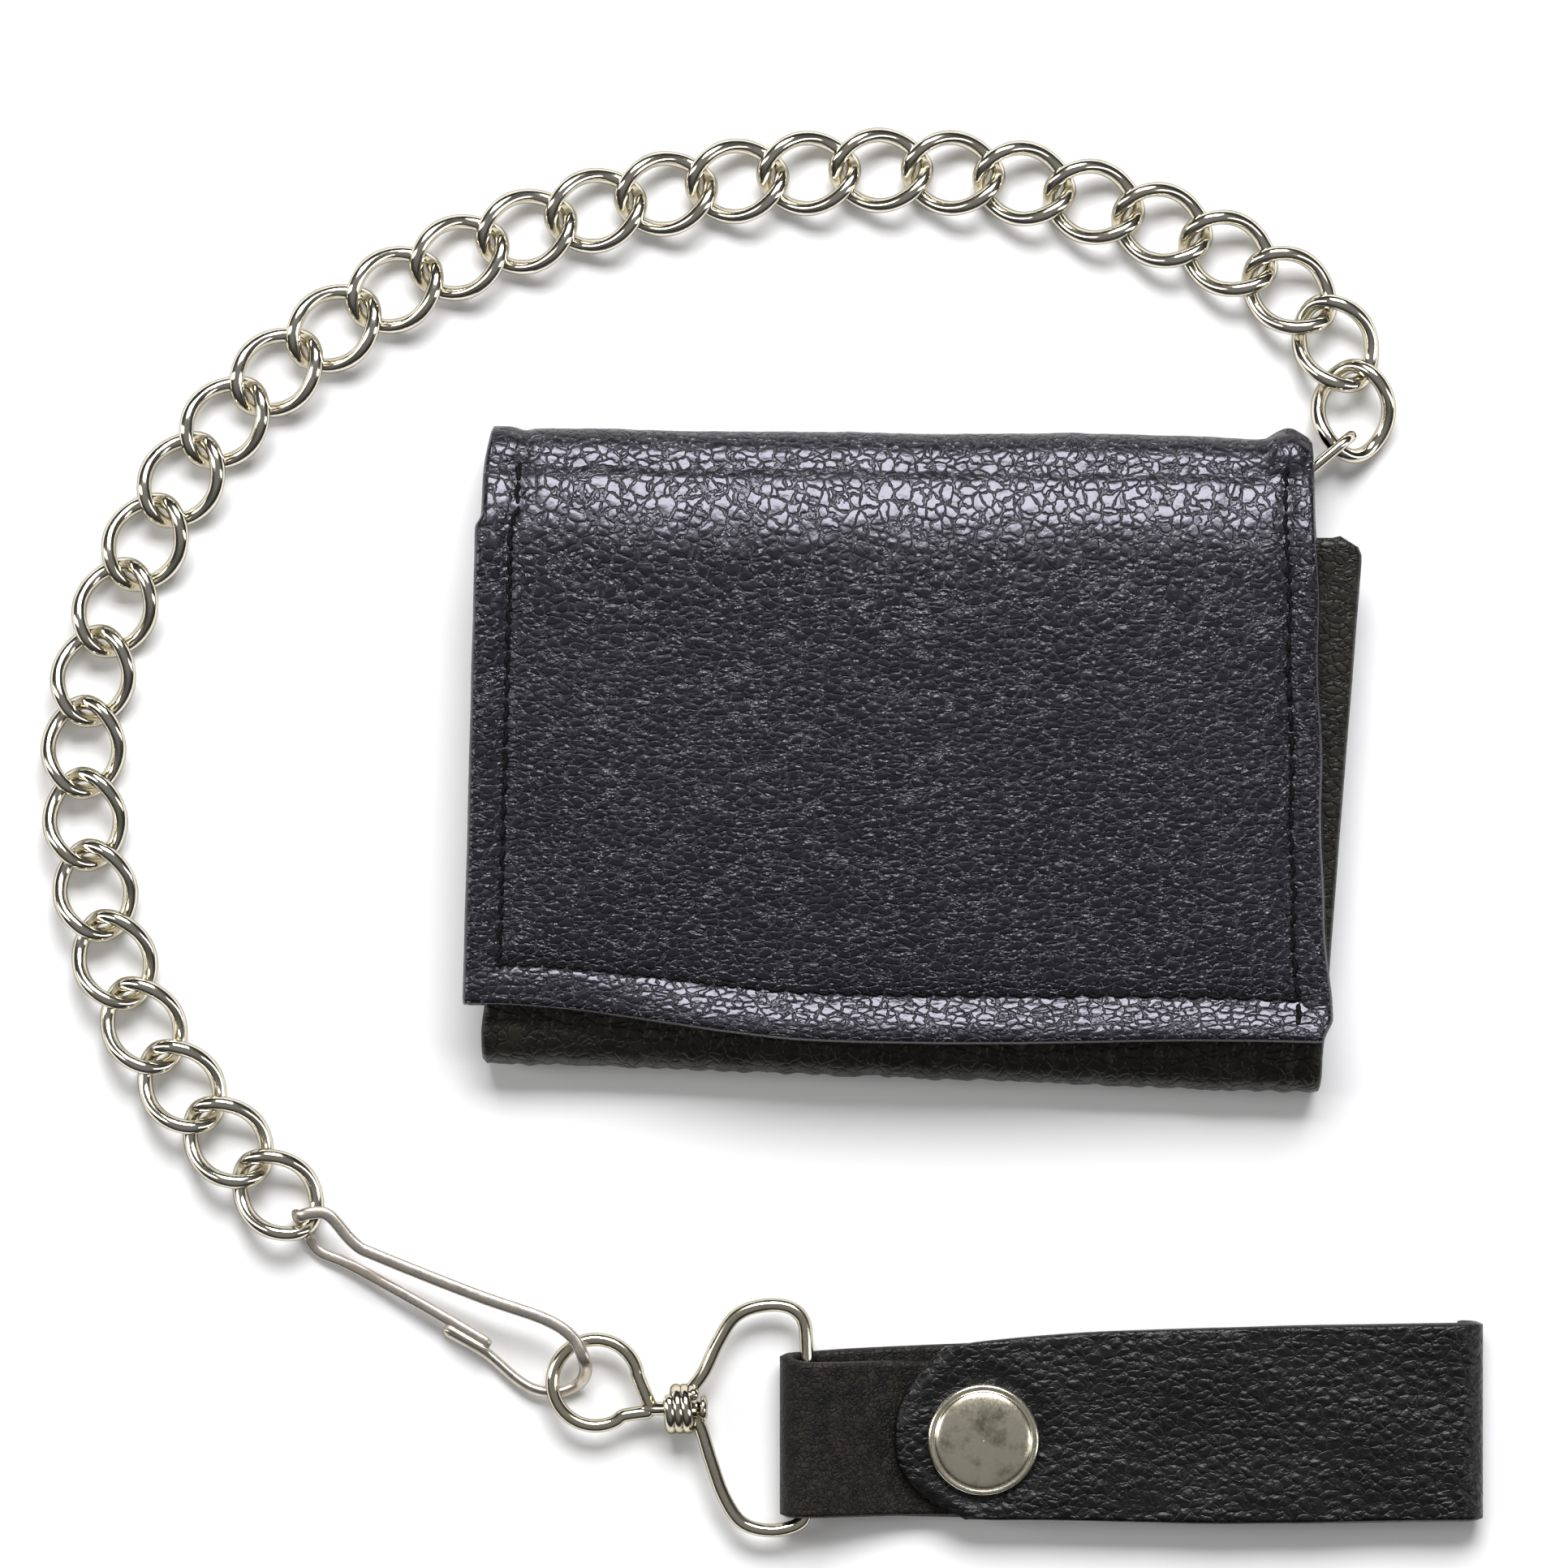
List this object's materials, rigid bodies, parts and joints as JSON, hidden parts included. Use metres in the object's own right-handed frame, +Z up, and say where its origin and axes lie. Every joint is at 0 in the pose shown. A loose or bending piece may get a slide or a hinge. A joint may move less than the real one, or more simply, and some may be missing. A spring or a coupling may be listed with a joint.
{
  "type": "chain wallet",
  "caption": "Trifold pebbled-leather wallet on a curb chain, with a wire spring hook, a swivel and a snap-closed belt strap.",
  "frame": {"origin": "middle of the wallet's back panel, on the surface that it lies on", "axes": "+X to the right along the folds, +Y towards the top fold and the chain's arc, +Z up out of the surface"},
  "size_m": [0.1834, 0.1793, 0.0125],
  "materials": {
    "wallet_leather": "satin pebbled",
    "lining_leather": "matt",
    "strap_leather": "satin pebbled",
    "clear_window": "clear",
    "chain_nickel": "polished nickel plate",
    "hook_nickel": "nickel plate, satin",
    "swivel_nickel": "polished nickel plate",
    "snap_nickel": "aged nickel plate"
  },
  "bodies": {
    "wallet": {"back_outer": "wallet_leather", "bill_divider": "lining_leather", "back_pocket": "lining_leather", "top_fold": "wallet_leather", "bottom_fold": "wallet_leather", "eyelet": "snap_nickel", "eyelet_washer": "snap_nickel"},
    "flap": {"flap_outer": "wallet_leather", "flap_lining": "lining_leather", "flap_pocket": "lining_leather"},
    "inner": {"inner_outer": "wallet_leather", "inner_window": "clear_window", "inner_pocket": "lining_leather"},
    "tie_ring": {"ring_link": "chain_nickel"},
    "link_01": {"link_01": "chain_nickel"},
    "link_02": {"link_02": "chain_nickel"},
    "link_03": {"link_03": "chain_nickel"},
    "link_04": {"link_04": "chain_nickel"},
    "link_05": {"link_05": "chain_nickel"},
    "link_06": {"link_06": "chain_nickel"},
    "link_07": {"link_07": "chain_nickel"},
    "link_08": {"link_08": "chain_nickel"},
    "link_09": {"link_09": "chain_nickel"},
    "link_10": {"link_10": "chain_nickel"},
    "link_11": {"link_11": "chain_nickel"},
    "link_12": {"link_12": "chain_nickel"},
    "link_13": {"link_13": "chain_nickel"},
    "link_14": {"link_14": "chain_nickel"},
    "link_15": {"link_15": "chain_nickel"},
    "link_16": {"link_16": "chain_nickel"},
    "link_17": {"link_17": "chain_nickel"},
    "link_18": {"link_18": "chain_nickel"},
    "link_19": {"link_19": "chain_nickel"},
    "link_20": {"link_20": "chain_nickel"},
    "link_21": {"link_21": "chain_nickel"},
    "link_22": {"link_22": "chain_nickel"},
    "link_23": {"link_23": "chain_nickel"},
    "link_24": {"link_24": "chain_nickel"},
    "link_25": {"link_25": "chain_nickel"},
    "link_26": {"link_26": "chain_nickel"},
    "link_27": {"link_27": "chain_nickel"},
    "link_28": {"link_28": "chain_nickel"},
    "link_29": {"link_29": "chain_nickel"},
    "link_30": {"link_30": "chain_nickel"},
    "link_31": {"link_31": "chain_nickel"},
    "hook": {"hook_frame": "hook_nickel"},
    "gate": {"hook_gate": "hook_nickel"},
    "eye": {"swivel_eye": "swivel_nickel", "swivel_pin": "swivel_nickel"},
    "loop": {"swivel_barrel": "swivel_nickel", "d_ring": "swivel_nickel"},
    "strap": {"strap_base": "strap_leather", "strap_return": "strap_leather", "strap_end_fold": "strap_leather", "snap_stud": "snap_nickel", "snap_post": "snap_nickel"},
    "strap_flap": {"strap_flap": "strap_leather", "snap_cap": "snap_nickel", "snap_socket": "snap_nickel"}
  },
  "joints": [
    {"name": "flap_fold", "type": "hinge", "parent": "wallet", "child": "flap", "pos_m": [0, 0.03475, 0.00625], "axis": [-1, 0, 0], "range_deg": [0, 150], "deforming": ["top_fold"]},
    {"name": "inner_fold", "type": "hinge", "parent": "wallet", "child": "inner", "pos_m": [0, -0.0367, 0.0043], "axis": [1, 0, 0], "range_deg": [0, 15], "deforming": ["bottom_fold"]},
    {"name": "strap_snap", "type": "hinge", "parent": "strap", "child": "strap_flap", "pos_m": [0.0712, -0.0848, 0.0028], "axis": [0, 1, 0], "range_deg": [0, 140], "deforming": ["strap_end_fold"]},
    {"name": "strap_swing", "type": "hinge", "parent": "loop", "child": "strap", "pos_m": [-0.012, -0.086, 0.0034], "axis": [0, -1, 0], "range_deg": [-30, 75]},
    {"name": "gate_spring", "type": "hinge", "parent": "hook", "child": "gate", "pos_m": [-0.0756, -0.0608, 0.0008], "axis": [0, 0, 1], "range_deg": [0, 7], "stiffness_Nm_per_rad": 0.004},
    {"name": "swivel_spin", "type": "hinge", "parent": "eye", "child": "loop", "pos_m": [-0.028, -0.0828, 0.0034], "axis": [1, 0, 0], "continuous": true},
    {"name": "hook_turn", "type": "hinge", "parent": "link_31", "child": "hook", "pos_m": [-0.0769, -0.0583, 0.0028], "axis": [0, 0, 1], "range_deg": [-8, 8]},
    {"name": "eye_turn", "type": "hinge", "parent": "hook", "child": "eye", "pos_m": [-0.0401, -0.0782, 0.0034], "axis": [0, 0, -1], "range_deg": [-6, 6]},
    {"name": "ring_turn", "type": "hinge", "parent": "wallet", "child": "tie_ring", "pos_m": [0.0455, 0.031, 0.00445], "axis": [0, 0, 1], "range_deg": [-8, 0]},
    {"name": "turn_link_01", "type": "hinge", "parent": "tie_ring", "child": "link_01", "pos_m": [0.05536, 0.03925, 0.0028], "axis": [0, 0, -1], "range_deg": [-8, 8]},
    {"name": "turn_link_02", "type": "hinge", "parent": "link_01", "child": "link_02", "pos_m": [0.05751, 0.04856, 0.0028], "axis": [0, 0, 1], "range_deg": [-8, 3]},
    {"name": "turn_link_03", "type": "hinge", "parent": "link_02", "child": "link_03", "pos_m": [0.05316, 0.05655, 0.0028], "axis": [0, 0, -1], "range_deg": [-3, 8]},
    {"name": "turn_link_04", "type": "hinge", "parent": "link_03", "child": "link_04", "pos_m": [0.04575, 0.06192, 0.0028], "axis": [0, 0, 1], "range_deg": [-8, 8]},
    {"name": "turn_link_05", "type": "hinge", "parent": "link_04", "child": "link_05", "pos_m": [0.03755, 0.06599, 0.0028], "axis": [0, 0, -1], "range_deg": [-8, 8]},
    {"name": "turn_link_06", "type": "hinge", "parent": "link_05", "child": "link_06", "pos_m": [0.02892, 0.06913, 0.0028], "axis": [0, 0, 1], "range_deg": [-8, 8]},
    {"name": "turn_link_07", "type": "hinge", "parent": "link_06", "child": "link_07", "pos_m": [0.02017, 0.07192, 0.0028], "axis": [0, 0, -1], "range_deg": [-8, 8]},
    {"name": "turn_link_08", "type": "hinge", "parent": "link_07", "child": "link_08", "pos_m": [0.0112, 0.07387, 0.0028], "axis": [0, 0, 1], "range_deg": [-8, 8]},
    {"name": "turn_link_09", "type": "hinge", "parent": "link_08", "child": "link_09", "pos_m": [0.00206, 0.07462, 0.0028], "axis": [0, 0, -1], "range_deg": [-8, 8]},
    {"name": "turn_link_10", "type": "hinge", "parent": "link_09", "child": "link_10", "pos_m": [-0.00713, 0.07461, 0.0028], "axis": [0, 0, 1], "range_deg": [-8, 8]},
    {"name": "turn_link_11", "type": "hinge", "parent": "link_10", "child": "link_11", "pos_m": [-0.01628, 0.0739, 0.0028], "axis": [0, 0, -1], "range_deg": [-8, 8]},
    {"name": "turn_link_12", "type": "hinge", "parent": "link_11", "child": "link_12", "pos_m": [-0.02537, 0.07261, 0.0028], "axis": [0, 0, 1], "range_deg": [-8, 8]},
    {"name": "turn_link_13", "type": "hinge", "parent": "link_12", "child": "link_13", "pos_m": [-0.03436, 0.07073, 0.0028], "axis": [0, 0, -1], "range_deg": [-8, 8]},
    {"name": "turn_link_14", "type": "hinge", "parent": "link_13", "child": "link_14", "pos_m": [-0.04322, 0.06831, 0.0028], "axis": [0, 0, 1], "range_deg": [-8, 8]},
    {"name": "turn_link_15", "type": "hinge", "parent": "link_14", "child": "link_15", "pos_m": [-0.05194, 0.06543, 0.0028], "axis": [0, 0, -1], "range_deg": [-8, 8]},
    {"name": "turn_link_16", "type": "hinge", "parent": "link_15", "child": "link_16", "pos_m": [-0.06035, 0.06176, 0.0028], "axis": [0, 0, 1], "range_deg": [-8, 8]},
    {"name": "turn_link_17", "type": "hinge", "parent": "link_16", "child": "link_17", "pos_m": [-0.06831, 0.0572, 0.0028], "axis": [0, 0, -1], "range_deg": [-8, 8]},
    {"name": "turn_link_18", "type": "hinge", "parent": "link_17", "child": "link_18", "pos_m": [-0.07582, 0.05191, 0.0028], "axis": [0, 0, 1], "range_deg": [-8, 8]},
    {"name": "turn_link_19", "type": "hinge", "parent": "link_18", "child": "link_19", "pos_m": [-0.08285, 0.04601, 0.0028], "axis": [0, 0, -1], "range_deg": [-8, 8]},
    {"name": "turn_link_20", "type": "hinge", "parent": "link_19", "child": "link_20", "pos_m": [-0.08894, 0.03915, 0.0028], "axis": [0, 0, 1], "range_deg": [-8, 8]},
    {"name": "turn_link_21", "type": "hinge", "parent": "link_20", "child": "link_21", "pos_m": [-0.09392, 0.03144, 0.0028], "axis": [0, 0, -1], "range_deg": [-8, 8]},
    {"name": "turn_link_22", "type": "hinge", "parent": "link_21", "child": "link_22", "pos_m": [-0.09811, 0.02327, 0.0028], "axis": [0, 0, 1], "range_deg": [-8, 8]},
    {"name": "turn_link_23", "type": "hinge", "parent": "link_22", "child": "link_23", "pos_m": [-0.10158, 0.01477, 0.0028], "axis": [0, 0, -1], "range_deg": [-8, 8]},
    {"name": "turn_link_24", "type": "hinge", "parent": "link_23", "child": "link_24", "pos_m": [-0.10372, 0.00586, 0.0028], "axis": [0, 0, 1], "range_deg": [-8, 8]},
    {"name": "turn_link_25", "type": "hinge", "parent": "link_24", "child": "link_25", "pos_m": [-0.10411, -0.00331, 0.0028], "axis": [0, 0, -1], "range_deg": [-8, 8]},
    {"name": "turn_link_26", "type": "hinge", "parent": "link_25", "child": "link_26", "pos_m": [-0.10337, -0.01246, 0.0028], "axis": [0, 0, 1], "range_deg": [-8, 8]},
    {"name": "turn_link_27", "type": "hinge", "parent": "link_26", "child": "link_27", "pos_m": [-0.10155, -0.02145, 0.0028], "axis": [0, 0, -1], "range_deg": [-8, 8]},
    {"name": "turn_link_28", "type": "hinge", "parent": "link_27", "child": "link_28", "pos_m": [-0.09848, -0.0301, 0.0028], "axis": [0, 0, 1], "range_deg": [-8, 8]},
    {"name": "turn_link_29", "type": "hinge", "parent": "link_28", "child": "link_29", "pos_m": [-0.09423, -0.03823, 0.0028], "axis": [0, 0, -1], "range_deg": [-8, 8]},
    {"name": "turn_link_30", "type": "hinge", "parent": "link_29", "child": "link_30", "pos_m": [-0.08874, -0.04558, 0.0028], "axis": [0, 0, 1], "range_deg": [-8, 8]},
    {"name": "turn_link_31", "type": "hinge", "parent": "link_30", "child": "link_31", "pos_m": [-0.0825, -0.05231, 0.0028], "axis": [0, 0, -1], "range_deg": [-8, 8]}
  ],
  "couplings": [
    {"joint": "inner_fold", "follows": "flap_fold", "ratio": 0.1}
  ]
}
